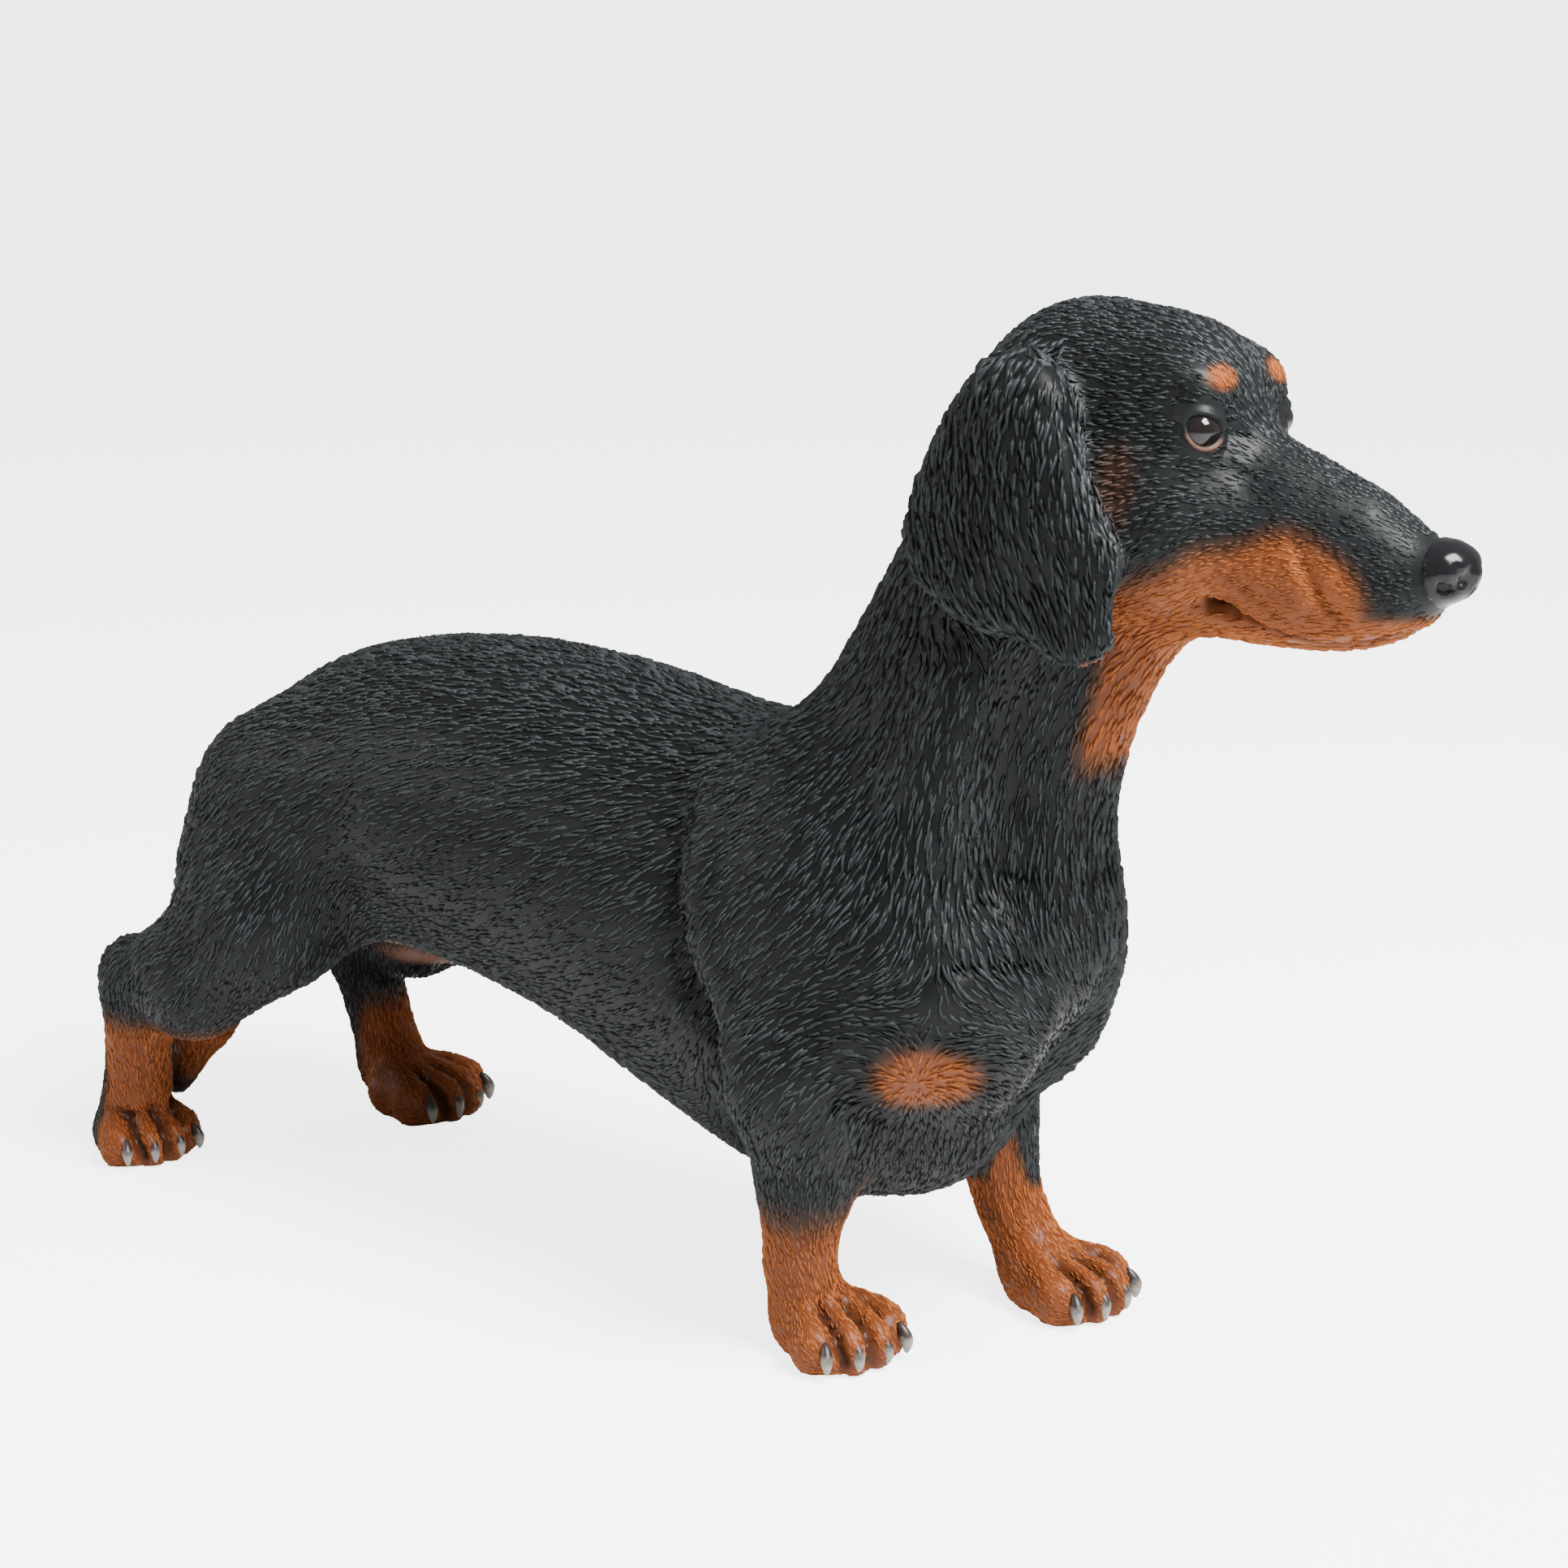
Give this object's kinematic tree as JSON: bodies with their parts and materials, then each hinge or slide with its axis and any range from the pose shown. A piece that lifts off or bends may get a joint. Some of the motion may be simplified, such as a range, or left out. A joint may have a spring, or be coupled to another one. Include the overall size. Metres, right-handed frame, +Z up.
{
  "type": "dachshund figurine",
  "caption": "Cast-resin figurine of a standing smooth black and tan dachshund, its carved coat painted, feet flat on the shelf.",
  "frame": {"origin": "on the floor plane under the middle of the whole figurine's box", "axes": "+X towards the nose, +Y towards the dog's left side, +Z up"},
  "size_m": [0.2038, 0.0577, 0.1295],
  "materials": {
    "coat_black": "black paint over carved resin, dry-brushed blue-grey on the ridges, satin",
    "coat_tan": "orange-tan paint with brown wash in the grooves, satin to semi-gloss",
    "nose_gloss": "gloss black varnish",
    "eye_gloss": "gloss black-brown varnish",
    "claw_grey": "grey-white paint, dark at the roots, semi-gloss"
  },
  "bodies": {
    "root": {"torso": "coat_black", "neck": "coat_black", "head": "coat_black", "lower_jaw": "coat_tan", "nose": "nose_gloss", "eye_right": "eye_gloss", "eyelids_right": "coat_black", "eye_left": "eye_gloss", "eyelids_left": "coat_black", "ear_right": "coat_black", "ear_left": "coat_black", "tail": "coat_black", "front_leg_right": "coat_black", "front_leg_left": "coat_black", "hind_leg_right": "coat_black", "hind_leg_left": "coat_black", "paw_front_right": "coat_tan", "paw_front_left": "coat_tan", "paw_hind_right": "coat_tan", "paw_hind_left": "coat_tan"}
  },
  "joints": []
}
